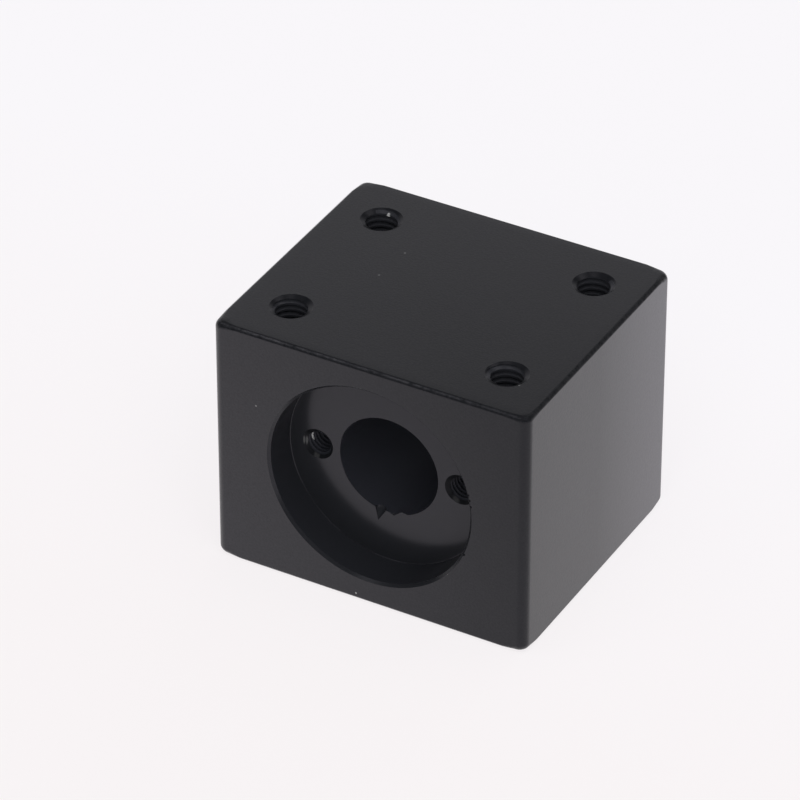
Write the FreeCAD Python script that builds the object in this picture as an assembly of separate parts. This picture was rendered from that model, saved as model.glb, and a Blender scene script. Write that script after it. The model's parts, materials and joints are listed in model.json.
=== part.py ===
import FreeCAD, Part
import math
import os

# Housing for a flanged lead screw nut: one milled, drilled and tapped block, in millimetres.
# The origin is the middle of the bottom face. +X runs along the front face, -Y points out of it,
# on the side where the nut goes in, and +Z points up out of the tapped mounting face.

# Flanged nut that the housing takes
flange_diameter = 22.0
flange_thickness = 3.5
flange_screw_inset = 3.0  # from the flange's edge to the axes of its two screws
hub_diameter = 10.2

# Room round the nut
flange_clearance = 0.2  # radial
flange_set_back = 0.3  # how far the flange lies below the front face
hub_clearance = 0.4  # radial

# Block round the nut's counterbore
wall_above = 2.5
wall_below = 3.1
wall_beside = 6.3
seat_depth = 26.2  # from the counterbore's floor to the back face
corner_radius = 1.0  # upright edges
edge_break = 0.4  # chamfer round the top and bottom faces
mouth_break = 0.15  # chamfer at the counterbore's mouth
bore_exit_break = 0.4  # chamfer where the bore leaves the back face

# Tapped holes for the nut's screws, in the counterbore's floor: 3 mm thread
nut_tap_diameter = 2.5
nut_tap_mouth = 3.4
nut_tap_depth = 9.0

# Tapped holes for the load, in the top face: 4 mm thread
load_spacing_x = 24.0
load_spacing_y = 18.0
load_tap_diameter = 3.3
load_tap_mouth = 4.4
load_tap_depth = 9.0

# Cutting tools
drill_point_angle = 118.0
countersink_angle = 120.0

# Sizes that follow from the ones above
bore_radius = hub_diameter / 2 + hub_clearance
counterbore_radius = flange_diameter / 2 + flange_clearance
counterbore_depth = flange_thickness + flange_set_back
nut_screw_offset = flange_diameter / 2 - flange_screw_inset
block_width = 2 * (counterbore_radius + wall_beside)
block_depth = counterbore_depth + seat_depth
block_height = wall_below + 2 * counterbore_radius + wall_above
front_y = -block_depth / 2
floor_y = front_y + counterbore_depth
screw_axis_z = wall_below + counterbore_radius

up = FreeCAD.Vector(0, 0, 1)
forward = FreeCAD.Vector(0, -1, 0)


def milled_block():
    """Block with rounded upright edges and a chamfer round its top and bottom faces."""
    corner = FreeCAD.Vector(-block_width / 2, front_y, 0)
    block = Part.makeBox(block_width, block_depth, block_height, corner)
    upright = [edge for edge in block.Edges if edge.BoundBox.ZLength > edge_break]
    block = block.makeFillet(corner_radius, upright)
    level = [edge for edge in block.Edges if edge.BoundBox.ZLength < edge_break]
    return block.makeChamfer(edge_break, level)


def turned_cut(profile, mouth, outward):
    """Solid turned from a closed profile of (radius, depth) points, sunk into the block from its mouth."""
    points = [FreeCAD.Vector(radius, 0, -depth) for radius, depth in profile]
    outline = Part.makePolygon(points + points[:1])
    cut = Part.Face(outline).revolve(FreeCAD.Vector(), up)
    cut.Placement = FreeCAD.Placement(mouth, FreeCAD.Rotation(up, outward))
    return cut


def nut_seat():
    """Counterbore for the flange and the bore behind it, through to the back face."""
    return turned_cut(
        [
            (0, 0),
            (counterbore_radius + mouth_break, 0),
            (counterbore_radius, mouth_break),
            (counterbore_radius, counterbore_depth),
            (bore_radius, counterbore_depth),
            (bore_radius, block_depth - bore_exit_break),
            (bore_radius + bore_exit_break, block_depth),
            (0, block_depth),
        ],
        FreeCAD.Vector(0, front_y, screw_axis_z),
        forward,
    )


def tapping_hole(tap_diameter, mouth_diameter, depth, mouth, outward):
    """Blind tapping hole with a countersunk mouth and the drill's point at its end."""
    tap_radius = tap_diameter / 2
    mouth_radius = mouth_diameter / 2
    mouth_depth = (mouth_radius - tap_radius) / math.tan(math.radians(countersink_angle / 2))
    point_depth = tap_radius / math.tan(math.radians(drill_point_angle / 2))
    return turned_cut(
        [(0, 0), (mouth_radius, 0), (tap_radius, mouth_depth), (tap_radius, depth), (0, depth + point_depth)],
        mouth,
        outward,
    )


def nut_screw_holes():
    """The two tapping holes beside the bore, level with its axis."""
    return [
        tapping_hole(
            nut_tap_diameter,
            nut_tap_mouth,
            nut_tap_depth,
            FreeCAD.Vector(side * nut_screw_offset, floor_y, screw_axis_z),
            forward,
        )
        for side in (-1, 1)
    ]


def load_holes():
    """The rectangle of tapping holes in the top face."""
    return [
        tapping_hole(
            load_tap_diameter,
            load_tap_mouth,
            load_tap_depth,
            FreeCAD.Vector(side * load_spacing_x / 2, end * load_spacing_y / 2, block_height),
            up,
        )
        for side in (-1, 1)
        for end in (-1, 1)
    ]


housing = milled_block().cut([nut_seat()] + nut_screw_holes() + load_holes())

os.makedirs("parts", exist_ok=True)
housing.Solids[0].exportStep("parts/nut_housing.step")
print("nut_housing: valid", housing.isValid(), "solids", len(housing.Solids), "volume", round(housing.Volume, 1))
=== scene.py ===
import json
import math

import bmesh
import bpy
from mathutils import Matrix, Vector


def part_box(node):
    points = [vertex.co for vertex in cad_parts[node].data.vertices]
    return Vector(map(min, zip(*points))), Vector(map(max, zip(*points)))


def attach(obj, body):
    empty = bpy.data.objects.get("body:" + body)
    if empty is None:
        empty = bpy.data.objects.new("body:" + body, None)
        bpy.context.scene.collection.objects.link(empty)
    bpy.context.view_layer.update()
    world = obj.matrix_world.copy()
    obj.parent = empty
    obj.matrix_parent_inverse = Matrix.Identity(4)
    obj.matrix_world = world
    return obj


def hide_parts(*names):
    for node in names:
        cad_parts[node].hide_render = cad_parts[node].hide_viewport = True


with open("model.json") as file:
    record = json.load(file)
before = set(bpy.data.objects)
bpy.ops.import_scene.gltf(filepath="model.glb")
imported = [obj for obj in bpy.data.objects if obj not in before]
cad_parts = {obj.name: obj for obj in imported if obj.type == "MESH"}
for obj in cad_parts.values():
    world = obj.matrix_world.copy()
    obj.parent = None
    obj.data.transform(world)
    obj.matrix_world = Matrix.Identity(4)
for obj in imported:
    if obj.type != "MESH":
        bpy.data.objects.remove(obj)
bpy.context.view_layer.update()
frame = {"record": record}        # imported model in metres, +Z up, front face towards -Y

mm = 0.001
tiny = 1e-7              # metres, under which two points are one
mounts = {mount["name"]: mount for mount in frame["record"]["mounts"]}
low, high = (Vector(corner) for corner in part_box("nut_housing"))


# helpers

mixFirst, mixSecond, mixResult = 6, 7, 2  # sockets of a Mix node that mixes colours


def srgb(code):
    # "#rrggbb" to linear, with alpha
    parts = [int(code[i:i + 2], 16) / 255 for i in (1, 3, 5)]
    return [p / 12.92 if p <= 0.04045 else ((p + 0.055) / 1.055) ** 2.4 for p in parts] + [1.0]


def addNode(tree, kind, inputs=None, links=None, **settings):
    node = tree.nodes.new(kind)
    for name, value in settings.items():
        setattr(node, name, value)
    for socket, value in (inputs or {}).items():
        node.inputs[socket].default_value = value
    for socket, source in (links or {}).items():
        tree.links.new(source, node.inputs[socket])
    return node


def newMaterial(name):
    material = bpy.data.materials.new(name)
    material.use_nodes = True
    material.node_tree.nodes.clear()
    return material


def newObject(name, bm, materials):
    mesh = bpy.data.meshes.new(name)
    bm.to_mesh(mesh)
    bm.free()
    for material in materials:
        mesh.materials.append(material)
    piece = bpy.data.objects.new(name, mesh)
    bpy.context.collection.objects.link(piece)
    return piece


# materials

turned = {                    # counterbore's floor: smooth, with a soft mirror image of the table
    "colour": "#1d1e21",
    "roughness": 0.19,
    "grain": 0.40,            # mm between the marks that the tool leaves
    "grainHeight": 0.0002,    # mm
    "grainGloss": 0.04,       # share by which the marks change the gloss
    "gloss": (0.310, 0.375),  # specular level, at the front right edge and glossDistance from it
    "endGloss": (1.0, 1.0),   # how much more the two end faces shine, at the middle and at the back
    "rise": (1.0, 1.0),       # how much the other faces shine, at the bottom and at the top
    "sheen": 0.0,             # dry look at a flat angle
    "stretch": (1, 1, 1),     # how many times narrower the specks are along each axis
    "specks": [],             # x, y, z and radius in mm, share of the pale colour
}
blasted = dict(               # outer faces: satin, with fine dimples that break up the gloss
    turned,
    colour="#141518",
    roughness=0.32,
    grain=0.22,               # coarser than the beads' real dimples, so that they show
    grainHeight=0.010,
    grainGloss=0.10,
    gloss=(0.258, 0.492),
    endGloss=(1.52, 3.5),
    rise=(1.04, 0.86),
    sheen=0.1,
    specks=[                  # dust, and in the last two rows painted highlights
        (-12.63, -15.0, 19.55, 0.10, 0.30),
        (8.81, -15.0, 6.82, 0.10, 0.25),
        (-1.46, -15.0, 0.78, 0.13, 0.40),
        (-6.95, 4.76, 28.0, 0.15, 0.13),
        (-7.25, 0.04, 28.0, 0.16, 0.10),
        # painted highlight: a glint at the lip of a top hole
        (13.87, -10.11, 28.0, 0.16, 0.20),
        # painted highlight on the counterbore's top rim
        (-0.83, -15.0, 25.53, 0.12, 0.10),
    ],
)
edged = dict(                 # edges round the top and bottom: rubbed, so that their shine is uneven
    blasted, grain=0.6, grainGloss=0.8, endGloss=(1.0, 1.0),
)
bored = dict(                 # bore: dull and even, with hardly any reflection; its colour, lighter than the outer faces', is painted light inside the bore
    turned, colour="#2a2b31", roughness=0.30, gloss=(0.10, 0.10),
)
walled = dict(                # counterbore's wall: dull, a shade darker than the bore
    turned, colour="#232428", roughness=0.30, gloss=(0.08, 0.08),
)
mouthed = dict(               # chamfer: a thin line, bright or dark with what it mirrors
    turned, roughness=0.26, gloss=(0.25, 0.30),
)
sunk = dict(                  # countersinks in the top face: satin cones
    turned, colour="#141518", roughness=0.30, gloss=(0.29, 0.29),
)
tapped = dict(                # threads in the top face: satin, with finely torn crests; a colour lighter than the outer faces' paints light into their shaded valleys
    turned,
    colour="#27282c",
    roughness=0.30,
    grain=0.10,
    grainHeight=0.002,
    grainGloss=0.1,
    gloss=(0.30, 0.34),
    specks=[                  # painted highlight: a pale glint in one hole's threads
        (-12.15, 10.80, 27.45, 0.28, 1.0),
    ],
)
tappedDeep = dict(            # threads in the counterbore: duller, with a painted highlight streak along one crest
    tapped,
    colour="#26272c",
    roughness=0.35,
    gloss=(0.22, 0.22),
    stretch=(1, 3.5, 1),
    specks=[
        (-9.245, -9.75, 14.01, 0.6, 0.7),
    ],
)
sunkDeep = dict(              # countersinks in the counterbore: near black, darker and duller than those in the top face (painted shade), with faint pale painted highlights
    sunk,
    colour="#111214",
    gloss=(0.09, 0.09),
    stretch=(5, 1, 1),
    specks=[
        (-9.60, -10.90, 14.07, 0.60, 0.07),
        (-9.36, -10.77, 14.02, 0.60, 0.08),
        (-8.2, -10.90, 12.3, 2.0, 0.03),
        (7.5, -10.90, 12.4, 2.2, 0.025),
    ],
)
# pale colour of the dust specks and of the painted highlights
speckColour = "#d8d8d8"
clearTint = "#f8f4ff"         # cold tint of the clear surface
oxideIor = 1.5                # the shader's own value, with the gloss to set how strongly it shows
glossDistance = 36.0          # mm
grainRange = (0.3, 0.7)       # where most of the grain noise lies
endFacing = (0.9, 1.0)        # share of the normal along X over which a face becomes an end face


def glossNodes(tree, place, grain, finish):
    # specular level: grows away from the front right edge, differs on the end faces, uneven with the grain;
    # these gradients paint the mirrored light brighter or dimmer across the faces (painted reflection)
    plan = addNode(
        tree, "ShaderNodeVectorMath", operation="MULTIPLY", inputs={1: (1, 1, 0)},
        links={0: place.outputs["Object"]},
    )
    away = addNode(
        tree, "ShaderNodeVectorMath", operation="DISTANCE", inputs={1: (high.x, low.y, 0)},
        links={0: plan.outputs[0]},
    )
    evenGloss = addNode(
        tree, "ShaderNodeMapRange",
        inputs={"From Max": glossDistance * mm, "To Min": finish["gloss"][0], "To Max": finish["gloss"][1]},
        links={"Value": away.outputs["Value"]},
    )
    marks = addNode(
        tree, "ShaderNodeMapRange",
        inputs={
            "From Min": grainRange[0], "From Max": grainRange[1],
            "To Min": 1 - finish["grainGloss"], "To Max": 1 + finish["grainGloss"],
        },
        links={"Value": grain.outputs["Fac"]},
    )
    facing = addNode(tree, "ShaderNodeSeparateXYZ", links={0: place.outputs["Normal"]})
    sideways = addNode(tree, "ShaderNodeMath", operation="ABSOLUTE", links={0: facing.outputs["X"]})
    axes = addNode(tree, "ShaderNodeSeparateXYZ", links={0: place.outputs["Object"]})
    heightShine = addNode(
        tree, "ShaderNodeMapRange",
        inputs={
            "From Min": low.z, "From Max": high.z,
            "To Min": finish["rise"][0], "To Max": finish["rise"][1],
        },
        links={"Value": axes.outputs["Z"]},
    )
    endShine = addNode(
        tree, "ShaderNodeMapRange",
        inputs={
            "From Min": (low.y + high.y) / 2, "From Max": high.y,
            "To Min": finish["endGloss"][0], "To Max": finish["endGloss"][1],
        },
        links={"Value": axes.outputs["Y"]},
    )
    shine = addNode(
        tree, "ShaderNodeMapRange",
        inputs={"From Min": endFacing[0], "From Max": endFacing[1]},
        links={
            "Value": sideways.outputs[0], "To Min": heightShine.outputs[0], "To Max": endShine.outputs[0],
        },
    )
    grainy = addNode(
        tree, "ShaderNodeMath", operation="MULTIPLY",
        links={0: evenGloss.outputs[0], 1: marks.outputs[0]},
    )
    gloss = addNode(
        tree, "ShaderNodeMath", operation="MULTIPLY",
        links={0: grainy.outputs[0], 1: shine.outputs[0]},
    )
    return gloss.outputs[0]


def speckNodes(tree, place, finish):
    # the finish's colour with its pale specks, dust and painted highlights, each full up to half its radius
    stretched = addNode(
        tree, "ShaderNodeVectorMath", operation="MULTIPLY", inputs={1: finish["stretch"]},
        links={0: place.outputs["Object"]},
    )
    pale = None
    for x, y, z, radius, share in finish["specks"]:
        middle = [c * s * mm for c, s in zip((x, y, z), finish["stretch"])]
        near = addNode(
            tree, "ShaderNodeVectorMath", operation="DISTANCE", inputs={1: middle},
            links={0: stretched.outputs[0]},
        )
        spot = addNode(
            tree, "ShaderNodeMapRange",
            inputs={"From Min": radius * mm / 2, "From Max": radius * mm, "To Min": share, "To Max": 0.0},
            links={"Value": near.outputs["Value"]},
        )
        if pale:
            spot = addNode(
                tree, "ShaderNodeMath", operation="MAXIMUM",
                links={0: pale.outputs[0], 1: spot.outputs[0]},
            )
        pale = spot
    colour = addNode(
        tree, "ShaderNodeMix", data_type="RGBA",
        inputs={mixFirst: srgb(finish["colour"]), mixSecond: srgb(speckColour)},
        links={0: pale.outputs[0]},
    )
    return colour.outputs[mixResult]


def blackAnodise(name, finish):
    # dyed oxide on aluminium: near black in depth, under a clear surface that mirrors the white table
    material = newMaterial(name)
    tree = material.node_tree
    place = addNode(tree, "ShaderNodeTexCoord")
    grain = addNode(
        tree, "ShaderNodeTexNoise",
        inputs={"Scale": 1 / (finish["grain"] * mm), "Detail": 2.0, "Roughness": 0.55},
        links={"Vector": place.outputs["Object"]},
    )
    bump = addNode(
        tree, "ShaderNodeBump",
        inputs={"Strength": 1.0, "Distance": finish["grainHeight"] * mm},
        links={"Height": grain.outputs["Fac"]},
    )
    gloss = glossNodes(tree, place, grain, finish)
    surface = addNode(
        tree, "ShaderNodeBsdfPrincipled",
        inputs={
            "Base Color": srgb(finish["colour"]), "Roughness": finish["roughness"], "IOR": oxideIor,
            "Sheen Weight": finish["sheen"], "Specular Tint": srgb(clearTint),
        },
        links={"Normal": bump.outputs["Normal"], "Specular IOR Level": gloss},
    )
    if finish["specks"]:
        tree.links.new(speckNodes(tree, place, finish), surface.inputs["Base Color"])
    addNode(tree, "ShaderNodeOutputMaterial", links={"Surface": surface.outputs["BSDF"]})
    return material


blastedAnodise = blackAnodise("black anodised aluminium, bead blasted", blasted)
turnedAnodise = blackAnodise("black anodised aluminium, turned", turned)
boredAnodise = blackAnodise("black anodised aluminium, bored", bored)
walledAnodise = blackAnodise("black anodised aluminium, counterbored", walled)
mouthAnodise = blackAnodise("black anodised aluminium, chamfered", mouthed)
tappedAnodise = blackAnodise("black anodised aluminium, tapped", tapped)
sunkAnodise = blackAnodise("black anodised aluminium, countersunk", sunk)
tappedDeepAnodise = blackAnodise("black anodised aluminium, tapped, shaded", tappedDeep)
sunkDeepAnodise = blackAnodise("black anodised aluminium, countersunk, shaded", sunkDeep)
edgeAnodise = blackAnodise("black anodised aluminium, edges", edged)
print("materials ready")


# block

block = {
    "cornerRadius": 1.0,  # mm, upright edges
    "cornerSteps": 12,
    "edgeRound": 0.40,    # mm, broken and blasted edges round the top and bottom
    "edgeSteps": 8,
    "edgeBulge": 1.4,     # 1 is a flat chamfer, 2 a round edge, which it becomes at the corners
    "cornerGain": 1.4,    # how much larger that rounding gets at the corners
    "cornerReach": 2.6,   # mm along the edges over which it gets there
    "keenCorners": (0.7, 0.4),  # share of that growth at the top front corners, left and right
    "loops": (0.4, 0.9, 1.6),   # mm beyond the upright edges, cuts that let the growth bend
    "squareAngle": 60,    # degrees, least angle between faces whose edge gets broken
    "edgeLean": 0.3,      # least part of an edge face's normal along Z
    "edgeFlat": 0.93,     # and the most along any one axis
    "slack": 0.01,        # mm to spare when the vertices of those edges are picked
}


def bevelEdges(bm, edges, offset, segments):
    bmesh.ops.bevel(
        bm, geom=edges, offset=offset * mm, offset_type="OFFSET", segments=segments,
        profile=0.5, affect="EDGES", material=-1,
    )


def softenCorners(bm):
    # the rounding of the top and bottom edges grows towards each corner
    radius = block["cornerRadius"] * mm
    edge = block["edgeRound"] * mm
    zone = edge + block["slack"] * mm
    half = (high - low) / 2
    for v in bm.verts:
        away = v.co - (low + high) / 2
        out = Vector((abs(away.x) - half.x + radius, abs(away.y) - half.y + radius))
        along = radius * math.pi / 4
        if min(out) > 0:
            along = radius * abs(math.atan2(out.y, out.x) - math.pi / 4)
            wall = out.normalized()
        else:
            along -= min(out)
            wall = Vector((1, 0)) if out.x > out.y else Vector((0, 1))
        inside = radius - out.dot(wall)
        drop = half.z - abs(away.z)
        if inside < zone and drop < zone:
            share = max(0, 1 - along / (block["cornerReach"] * mm))
            share *= share * (3 - 2 * share)  # eases in and out
            bulge = block["edgeBulge"] + (2 - block["edgeBulge"]) * share
            a, b = max(0, 1 - inside / edge), max(0, 1 - drop / edge)
            k = (a ** bulge + b ** bulge) ** (-1 / bulge)
            keen = block["keenCorners"][away.x > 0] if away.y < 0 and away.z > 0 else 1
            size = edge * (1 + block["cornerGain"] * share * keen)
            inward = (1 - a * k) * size - inside
            v.co.x -= math.copysign(inward * wall.x, away.x)
            v.co.y -= math.copysign(inward * wall.y, away.y)
            v.co.z -= math.copysign((1 - b * k) * size - drop, away.z)


def isBrokenEdge(edge):
    start, end = (v.co for v in edge.verts)
    return edge.calc_face_angle() > math.radians(block["squareAngle"]) and abs(start.z - end.z) < tiny


def milledBlock():
    bm = bmesh.new()
    bmesh.ops.create_cube(bm, size=1.0)
    bmesh.ops.scale(bm, vec=high - low, verts=bm.verts)
    bmesh.ops.translate(bm, vec=(low + high) / 2, verts=bm.verts)
    upright = [e for e in bm.edges if abs((e.verts[0].co - e.verts[1].co).z) > mm]
    bevelEdges(bm, upright, block["cornerRadius"], block["cornerSteps"])
    for axis in (Vector((1, 0, 0)), Vector((0, 1, 0))):
        for step in block["loops"]:
            place = (high - low).dot(axis) / 2 - (block["cornerRadius"] + step) * mm
            for side in (-1, 1):
                bmesh.ops.bisect_plane(
                    bm, geom=bm.verts[:] + bm.edges[:] + bm.faces[:], dist=tiny,
                    plane_co=axis * place * side, plane_no=axis,
                )
    bevelEdges(bm, [e for e in bm.edges if isBrokenEdge(e)], block["edgeRound"], block["edgeSteps"])
    softenCorners(bm)
    bm.normal_update()
    for face in bm.faces:
        if abs(face.normal.z) > block["edgeLean"] and max(abs(n) for n in face.normal) < block["edgeFlat"]:
            face.material_index = 1
    return newObject("nutHousing", bm, [blastedAnodise, edgeAnodise])


# cutters

past = 0.3                # mm that every cutter stands out of the block
seat = {
    "steps": 160,
    "drop": 0.18,         # mm lower than packed, as the photo has it
    "sink": 0.25,         # mm deeper than packed, as the photo has it
    "mouthBreak": 0.28,   # mm, chamfer at the counterbore's mouth
    "cornerRound": 0.09,  # mm, tool's nose radius where the wall meets the floor
    "cornerSteps": 4,
    "boreBreak": 0.05,    # mm, at the bore's rim
    "exitBreak": 0.4,     # mm, where the bore leaves the back face
    "burrs": [(-75, 4, 0.28), (-84, 3, -0.12)],  # degrees, width in degrees, mm into the bore
    "burrDepth": 0.6,     # mm down the bore where they have run out
    "burrReach": 0.1,     # mm round the bore's rim that moves with them
}
boreMount = mounts["nut_bore"]
boreRadius = boreMount["dims"]["r_mm"]
counterRadius = mounts["flange_counterbore"]["dims"]["r_mm"]
axisZ = boreMount["pos_m"][2] - seat["drop"] * mm
floorY = boreMount["pos_m"][1] - boreMount["dims"]["length_mm"] * mm / 2 + seat["sink"] * mm


def placeCutter(bm, mouth, outward):
    turn = Vector((0, 0, 1)).rotation_difference(Vector(outward)).to_matrix().to_4x4()
    bmesh.ops.transform(bm, matrix=Matrix.Translation(mouth) @ turn, verts=bm.verts)


def turnedCutter(name, profile, steps, mouth, outward, materials):
    # profile: (radius, depth) in mm, from the axis outside the mouth to the axis at the far end
    bm = bmesh.new()
    verts = [bm.verts.new((radius * mm, 0, -depth * mm)) for radius, depth in profile]
    edges = [bm.edges.new(pair) for pair in zip(verts, verts[1:])]
    bmesh.ops.spin(
        bm, geom=verts + edges, cent=(0, 0, 0), axis=(0, 0, 1),
        angle=2 * math.pi, steps=steps, use_merge=True,
    )
    bmesh.ops.remove_doubles(bm, verts=bm.verts, dist=tiny)
    bmesh.ops.recalc_face_normals(bm, faces=bm.faces)
    placeCutter(bm, mouth, outward)
    return newObject(name, bm, materials)


def raiseBurrs(cutter):
    # the bore's rim bulges in or out where the tool tore it
    for v in cutter.data.vertices:
        out = Vector((v.co.x, 0, v.co.z - axisZ))
        level = abs(v.co.y - floorY) < seat["burrReach"] * mm
        if level and out.length < (boreRadius + seat["burrReach"]) * mm:
            for angle, width, inward in seat["burrs"]:
                away = (math.degrees(math.atan2(out.z, out.x)) - angle) / width
                v.co -= out.normalized() * inward * mm * math.exp(-away * away)


def seatCutter():
    bore, counter = boreRadius, counterRadius
    boreBreak, exitBreak, mouthBreak = seat["boreBreak"], seat["exitBreak"], seat["mouthBreak"]
    nose = seat["cornerRound"]
    depth = (floorY - low.y) / mm
    through = (high.y - low.y) / mm
    turns = [math.radians(90 * i / seat["cornerSteps"]) for i in range(seat["cornerSteps"] + 1)]
    profile = [(0, -past), (counter + mouthBreak + past, -past), (counter, mouthBreak)]
    profile += [(counter - nose + nose * math.cos(a), depth - nose + nose * math.sin(a)) for a in turns]
    profile += [(bore + boreBreak, depth), (bore, depth + boreBreak), (bore, depth + seat["burrDepth"])]
    profile += [(bore, through - exitBreak), (bore + exitBreak + past, through + past), (0, through + past)]
    materials = [turnedAnodise, boredAnodise, mouthAnodise, walledAnodise]
    cutter = turnedCutter("seatCutter", profile, seat["steps"], (0, low.y, axisZ), (0, -1, 0), materials)
    for face in cutter.data.polygons:
        material = turnedAnodise
        if face.center.y > floorY + boreBreak * mm:
            material = boredAnodise
        elif face.center.y < low.y + mouthBreak * mm:
            material = mouthAnodise
        elif face.center.y < floorY - nose * mm:
            material = walledAnodise
        face.material_index = materials.index(material)
    raiseBurrs(cutter)
    return cutter


# tapped holes, with lengths in mm
loadThread = {
    "major": 4.0, "pitch": 0.7, "mouth": 4.4, "drillDepth": 9.0, "threadDepth": 8.0,
    "steps": 48,
    "starts": (200, 20, 110, 300),  # degrees, where each thread begins
}
nutThread = {
    "major": 3.0, "pitch": 0.5, "mouth": 3.4, "drillDepth": 9.0, "threadDepth": 8.0,
    "steps": 48,
    "starts": (149, 160),
}
countersink = 120         # degrees
drillPoint = 118          # degrees
flankAngle = 60           # degrees between a thread's two flanks
rootFlat = 1 / 8          # width of the flat between them, in pitches
cutIn = 0.1               # mm that the tap's ridge starts inside the drilled hole


def drillCutter(thread, drill, mouth, outward, material, coneMaterial):
    wide = thread["mouth"] / 2
    flare = math.tan(math.radians(countersink / 2))
    sink = (wide - drill) / flare
    point = drill / math.tan(math.radians(drillPoint / 2))
    profile = [
        (0, -past), (wide + past * flare, -past), (drill, sink),
        (drill, thread["drillDepth"]), (0, thread["drillDepth"] + point),
    ]
    cutter = turnedCutter("drillCutter", profile, thread["steps"], mouth, outward, [material, coneMaterial])
    for face in cutter.data.polygons:
        if (face.center - Vector(mouth)).dot(Vector(outward)) > -sink * mm:
            face.material_index = 1
    return cutter


def threadCutter(thread, drill, start, mouth, outward, material):
    # V ridge of the tap, wound up from the thread's end to just outside the mouth
    major = thread["major"] / 2
    pitch = thread["pitch"]
    inner = drill - cutIn
    flat = pitch * rootFlat / 2
    wide = flat + (major - inner) * math.tan(math.radians(flankAngle / 2))
    turns = (thread["threadDepth"] + past) / pitch
    steps = round(turns * thread["steps"])
    bm = bmesh.new()
    corners = [(inner, -wide), (major, -flat), (major, flat), (inner, wide)]
    verts = [bm.verts.new((r * mm, 0, (z - thread["threadDepth"]) * mm)) for r, z in corners]
    edges = [bm.edges.new((verts[i - 1], verts[i])) for i in range(len(verts))]
    bmesh.ops.rotate(bm, cent=(0, 0, 0), matrix=Matrix.Rotation(math.radians(start), 3, "Z"), verts=verts)
    bmesh.ops.spin(
        bm, geom=verts + edges, cent=(0, 0, 0), axis=(0, 0, 1), dvec=(0, 0, turns * pitch * mm / steps),
        angle=2 * math.pi * turns, steps=steps,
    )
    ends = [e for e in bm.edges if e.is_boundary]
    bmesh.ops.holes_fill(bm, edges=ends, sides=len(corners))
    bmesh.ops.recalc_face_normals(bm, faces=bm.faces)
    placeCutter(bm, mouth, outward)
    return newObject("threadCutter", bm, [material])


def tappedHoles(thread, mount, points, outward, material, coneMaterial):
    drill = mounts[mount]["dims"]["hole_r_mm"]
    cutters = []
    for start, point in zip(thread["starts"], points):
        cutters.append(drillCutter(thread, drill, point, outward, material, coneMaterial))
        cutters.append(threadCutter(thread, drill, start, point, outward, material))
    return cutters


# damage on the rims, with radius and lengths in mm and angles in degrees
nick = {"angle": -99.8, "tip": 6.95, "length": 1.75, "width": 1.45, "sides": 14}
dents = [
    {"radius": 5.50, "angle": -84, "size": 0.22, "onFloor": True},
    {"radius": 11.44, "angle": 14.8, "size": 0.17, "onFloor": False},
    {"radius": 11.44, "angle": 11.8, "size": 0.17, "onFloor": False},
    {"radius": 11.44, "angle": 8.3, "size": 0.17, "onFloor": False},
    {"radius": 11.46, "angle": -22, "size": 0.17, "onFloor": False},
]


def rimPoint(radius, angle, y):
    # on a circle round the bore's axis, angle in degrees from +X towards +Z
    a = math.radians(angle)
    return Vector((radius * mm * math.cos(a), y, axisZ + radius * mm * math.sin(a)))


def nickCutter():
    # gouge that runs out of the bore over the counterbore's floor
    bm = bmesh.new()
    bmesh.ops.create_cone(
        bm, cap_ends=True, cap_tris=True, segments=nick["sides"], radius1=nick["width"] / 2 * mm, radius2=0,
        depth=nick["length"] * mm,
    )
    bmesh.ops.rotate(
        bm, cent=(0, 0, 0), matrix=Matrix.Rotation(math.radians(90 - nick["angle"]), 3, "Y"), verts=bm.verts,
    )
    middle = rimPoint(nick["tip"] - nick["length"] / 2, nick["angle"], floorY)
    bmesh.ops.translate(bm, vec=middle, verts=bm.verts)
    return newObject("nickCutter", bm, [turnedAnodise])


def dentCutter(dent):
    bm = bmesh.new()
    bmesh.ops.create_icosphere(bm, subdivisions=2, radius=dent["size"] * mm)
    y = floorY if dent["onFloor"] else low.y
    bmesh.ops.translate(bm, vec=rimPoint(dent["radius"], dent["angle"], y), verts=bm.verts)
    # dents in the front face take the shaded near-black finish of the counterbore's countersinks: painted
    # shade
    return newObject("dentCutter", bm, [turnedAnodise if dent["onFloor"] else sunkDeepAnodise])


# housing

sharpAngle = 28           # degrees, from which an edge is shaded sharp


def carve(piece, cutters):
    tools = bpy.data.collections.new("cutters")
    bpy.context.scene.collection.children.link(tools)
    for cutter in cutters:
        bpy.context.collection.objects.unlink(cutter)
        tools.objects.link(cutter)
    cut = piece.modifiers.new("carve", "BOOLEAN")
    cut.operation = "DIFFERENCE"
    cut.solver = "EXACT"
    cut.operand_type = "COLLECTION"
    cut.collection = tools
    cut.material_mode = "TRANSFER"
    carved = bpy.data.meshes.new_from_object(piece.evaluated_get(bpy.context.evaluated_depsgraph_get()))
    piece.modifiers.clear()
    piece.data = carved
    for cutter in cutters:
        bpy.data.objects.remove(cutter)
    bpy.data.collections.remove(tools)


def cleanMesh(piece):
    # merges the slivers that the cuts leave
    bm = bmesh.new()
    bm.from_mesh(piece.data)
    bmesh.ops.remove_doubles(bm, verts=bm.verts, dist=2 * tiny)
    bmesh.ops.dissolve_degenerate(bm, edges=bm.edges, dist=tiny)
    print("open edges", sum(not e.is_manifold for e in bm.edges), "faces", len(bm.faces),
          "triangles", sum(len(f.verts) - 2 for f in bm.faces), "volume mm3", bm.calc_volume() / mm ** 3)
    bm.to_mesh(piece.data)
    bm.free()


def shade(piece):
    piece.data.shade_smooth()
    piece.data.set_sharp_from_angle(angle=math.radians(sharpAngle))
    flat = piece.modifiers.new("flat faces", "WEIGHTED_NORMAL")
    flat.keep_sharp = True


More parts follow.
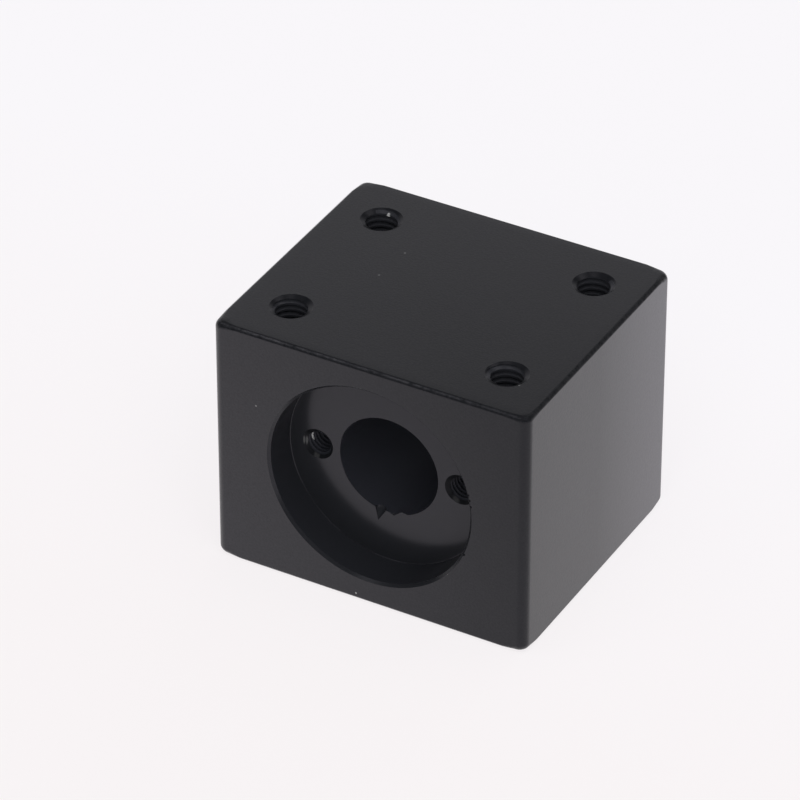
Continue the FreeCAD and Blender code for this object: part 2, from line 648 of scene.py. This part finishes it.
housing = milledBlock()
spanX, spanY = (mounts["load_holes"]["dims"][key] * mm / 2 for key in ("spacing_x_mm", "spacing_y_mm"))
nutX = mounts["nut_screw_holes"]["dims"]["spacing_x_mm"] * mm / 2
loadPoints = [(side * spanX, end * spanY, high.z) for side in (-1, 1) for end in (-1, 1)]
nutPoints = [(side * nutX, floorY, axisZ) for side in (-1, 1)]
cutters = [seatCutter()]
cutters += tappedHoles(loadThread, "load_holes", loadPoints, (0, 0, 1), tappedAnodise, sunkAnodise)
cutters += tappedHoles(
    nutThread, "nut_screw_holes", nutPoints, (0, -1, 0), tappedDeepAnodise, sunkDeepAnodise,
)
cutters += [nickCutter()] + [dentCutter(dent) for dent in dents]
carve(housing, cutters)
cleanMesh(housing)
shade(housing)
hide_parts("nut_housing")
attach(housing, "root")
print("housing carved", [m.name for m in housing.data.materials])


# table

table = {
    "back": "#fcfafd", "front": "#faf6f7",
    "from": (-0.03, 0.05),  # metres, where the paper goes from its front colour to its back colour: painted shade, darker towards the front
    "size": 6.0,            # metres
    "shown": 0.85,          # share of its own white, beside what the lamps and the shadow give
}


def tableTop():
    # white paper: shows its own white to the eye and to mirroring faces, and takes the block's soft shadow;
    # its colour darkens towards the front as painted shade
    bm = bmesh.new()
    bmesh.ops.create_grid(bm, x_segments=1, y_segments=1, size=table["size"] / 2)
    material = newMaterial("white paper")
    tree = material.node_tree
    place = addNode(tree, "ShaderNodeTexCoord")
    axes = addNode(tree, "ShaderNodeSeparateXYZ", links={0: place.outputs["Object"]})
    far = addNode(
        tree, "ShaderNodeMapRange",
        inputs={"From Min": table["from"][0], "From Max": table["from"][1]},
        links={"Value": axes.outputs["Y"]},
    )
    colour = addNode(
        tree, "ShaderNodeMix", data_type="RGBA",
        inputs={mixFirst: srgb(table["front"]), mixSecond: srgb(table["back"])},
        links={0: far.outputs[0]},
    )
    ray = addNode(tree, "ShaderNodeLightPath")
    seen = addNode(
        tree, "ShaderNodeMath", operation="MAXIMUM",
        links={0: ray.outputs["Is Camera Ray"], 1: ray.outputs["Is Glossy Ray"]},
    )
    through = addNode(
        tree, "ShaderNodeMath", operation="MAXIMUM",
        links={0: seen.outputs[0], 1: ray.outputs["Is Transmission Ray"]},
    )
    share = addNode(
        tree, "ShaderNodeMath", operation="MULTIPLY", inputs={1: table["shown"]},
        links={0: through.outputs[0]},
    )
    paper = addNode(tree, "ShaderNodeBsdfDiffuse", links={"Color": colour.outputs[mixResult]})
    white = addNode(
        tree, "ShaderNodeEmission", inputs={"Strength": 1.0}, links={"Color": colour.outputs[mixResult]},
    )
    mix = addNode(
        tree, "ShaderNodeMixShader",
        links={0: share.outputs[0], 1: paper.outputs[0], 2: white.outputs[0]},
    )
    addNode(tree, "ShaderNodeOutputMaterial", links={"Surface": mix.outputs[0]})
    return newObject("tableTop", bm, [material])


tableTop()
print("table ready")


# light

room = {
    "pale": "#c5c4c7",          # white screen behind the table
    "dark": "#1c1c1e",
    "screenTop": (33, 46),      # degrees of height over which the screen gives way to the dark room
    "screenFront": (0.0, 0.4),  # share of the direction along +Y over which it starts
    "screenRight": (0.0, 0.3),  # share along +X over which it stops
}
softboxes = {  # azimuth and height in degrees, width and length in metres, radiance, seen in gloss
    "softboxOverhead": (45, 80, 0.9, 0.9, 1.6, False),
    "softboxZenith": (45, 88, 0.3, 0.3, 0.8, True),
    "softboxFront": (10, 10, 1.2, 0.6, 1.7, False),
    "softboxNear": (29, 36, 1.0, 0.8, 1.9, False),
    "softboxLeft": (-44, 52, 0.5, 0.28, 1.7, True),
    "softboxRight": (72, 48, 0.8, 0.4, 0.9, True),
    "softboxBehind": (180, 8, 0.6, 0.6, 2.4, False),
    "softboxBack": (135, 58, 0.5, 0.35, 1.0, True),
}
lampDistance = 1.0              # metres


def towards(azimuth, height):
    # 0 is straight in front of the block, positive to its right
    a, h = math.radians(azimuth), math.radians(height)
    return Vector((math.sin(a) * math.cos(h), -math.cos(a) * math.cos(h), math.sin(h)))


def softbox(name, azimuth, height, width, length, radiance, mirrored):
    data = bpy.data.lights.new(name, "AREA")
    data.shape = "RECTANGLE"
    data.size = width
    data.size_y = length
    data.energy = radiance * math.pi * data.size * data.size_y
    light = bpy.data.objects.new(name, data)
    bpy.context.collection.objects.link(light)
    away = towards(azimuth, height)
    light.location = away * lampDistance
    light.rotation_euler = away.to_track_quat("Z", "Y").to_euler()
    light.visible_camera = False
    light.visible_glossy = mirrored


def roomLight():
    # dark room with a pale screen at the back left, and pale all round to the camera
    world = bpy.data.worlds.new("studio")
    bpy.context.scene.world = world
    world.use_nodes = True
    tree = world.node_tree
    tree.nodes.clear()
    place = addNode(tree, "ShaderNodeTexCoord")
    axes = addNode(tree, "ShaderNodeSeparateXYZ", links={0: place.outputs["Generated"]})
    bottom, top = (math.sin(math.radians(h)) for h in room["screenTop"])
    rise = addNode(
        tree, "ShaderNodeMapRange", interpolation_type="SMOOTHSTEP",
        inputs={"From Min": bottom, "From Max": top, "To Min": 1.0, "To Max": 0.0},
        links={"Value": axes.outputs["Z"]},
    )
    near, far = room["screenFront"]
    behind = addNode(
        tree, "ShaderNodeMapRange", interpolation_type="SMOOTHSTEP",
        inputs={"From Min": near, "From Max": far, "To Min": 0.0, "To Max": 1.0},
        links={"Value": axes.outputs["Y"]},
    )
    left, right = room["screenRight"]
    leftward = addNode(
        tree, "ShaderNodeMapRange", interpolation_type="SMOOTHSTEP",
        inputs={"From Min": left, "From Max": right, "To Min": 1.0, "To Max": 0.0},
        links={"Value": axes.outputs["X"]},
    )
    backdrop = addNode(
        tree, "ShaderNodeMath", operation="MULTIPLY",
        links={0: rise.outputs[0], 1: behind.outputs[0]},
    )
    screen = addNode(
        tree, "ShaderNodeMath", operation="MULTIPLY",
        links={0: backdrop.outputs[0], 1: leftward.outputs[0]},
    )
    ray = addNode(tree, "ShaderNodeLightPath")
    pale = addNode(
        tree, "ShaderNodeMath", operation="MAXIMUM",
        links={0: screen.outputs[0], 1: ray.outputs["Is Camera Ray"]},
    )
    colour = addNode(
        tree, "ShaderNodeMix", data_type="RGBA",
        inputs={mixFirst: srgb(room["dark"]), mixSecond: srgb(room["pale"])},
        links={0: pale.outputs[0]},
    )
    back = addNode(
        tree, "ShaderNodeBackground", inputs={"Strength": 1.0}, links={"Color": colour.outputs[mixResult]},
    )
    addNode(tree, "ShaderNodeOutputWorld", links={"Surface": back.outputs[0]})


for name, settings in softboxes.items():
    softbox(name, *settings)
roomLight()
print("light ready")


# camera

view = {
    "aim": (-4.032, -1.466, 14.999),  # mm
    "azimuth": 29.231,                # degrees
    "elevation": 34.65,               # degrees
    "distance": 549.29,               # mm
    "lens": 248.165,                  # mm
    "sensor": 36.0,                   # mm
    "farthest": 10.0,                 # metres
}


def photoCamera():
    data = bpy.data.cameras.new("photo")
    data.lens = view["lens"]
    data.sensor_width = view["sensor"]
    data.clip_end = view["farthest"]
    camera = bpy.data.objects.new("photo", data)
    bpy.context.collection.objects.link(camera)
    back = towards(view["azimuth"], view["elevation"])
    camera.location = (Vector(view["aim"]) + back * view["distance"]) * mm
    camera.rotation_euler = back.to_track_quat("Z", "Y").to_euler()
    bpy.context.scene.camera = camera


photoCamera()
bpy.context.scene.view_settings.view_transform = "Standard"
print("camera ready")
